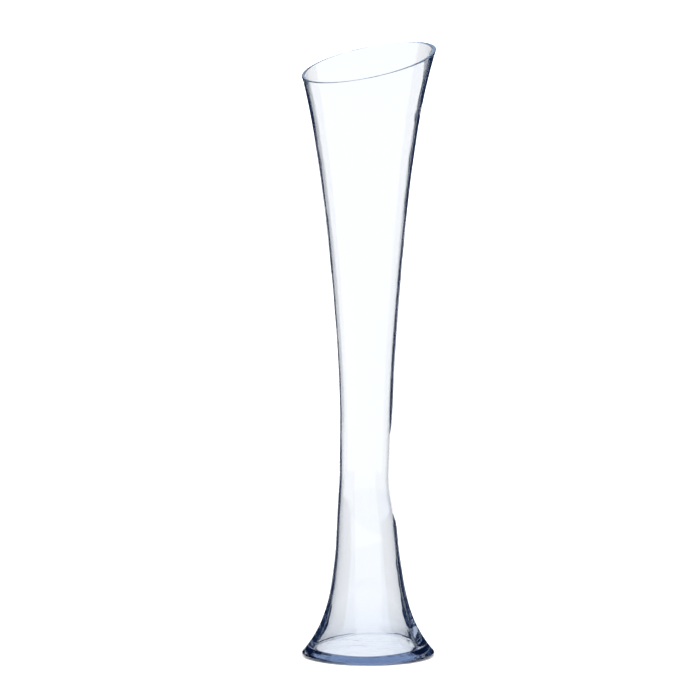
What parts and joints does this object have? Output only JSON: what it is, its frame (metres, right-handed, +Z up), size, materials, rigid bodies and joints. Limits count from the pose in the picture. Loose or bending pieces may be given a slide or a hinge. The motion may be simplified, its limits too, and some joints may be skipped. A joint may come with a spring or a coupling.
{
  "type": "flower vase",
  "caption": "Tall clear glass trumpet vase with a slim waist, a flared foot, a heavy flat base and a slant-cut mouth.",
  "frame": {"origin": "centre of the flat underside, on the table plane", "axes": "+Z up along the vase's axis; the slanted lip is highest at +X and lowest at -X, so the XZ plane is the plane of symmetry"},
  "size_m": [0.1375, 0.1332, 0.6096],
  "materials": {
    "clear_glass": "fire-polished, colourless with a faint cool blue cast in thick sections"
  },
  "bodies": {
    "root": {"heavy_base": "clear_glass", "flared_foot": "clear_glass", "waist": "clear_glass", "trumpet_mouth": "clear_glass"}
  },
  "joints": []
}
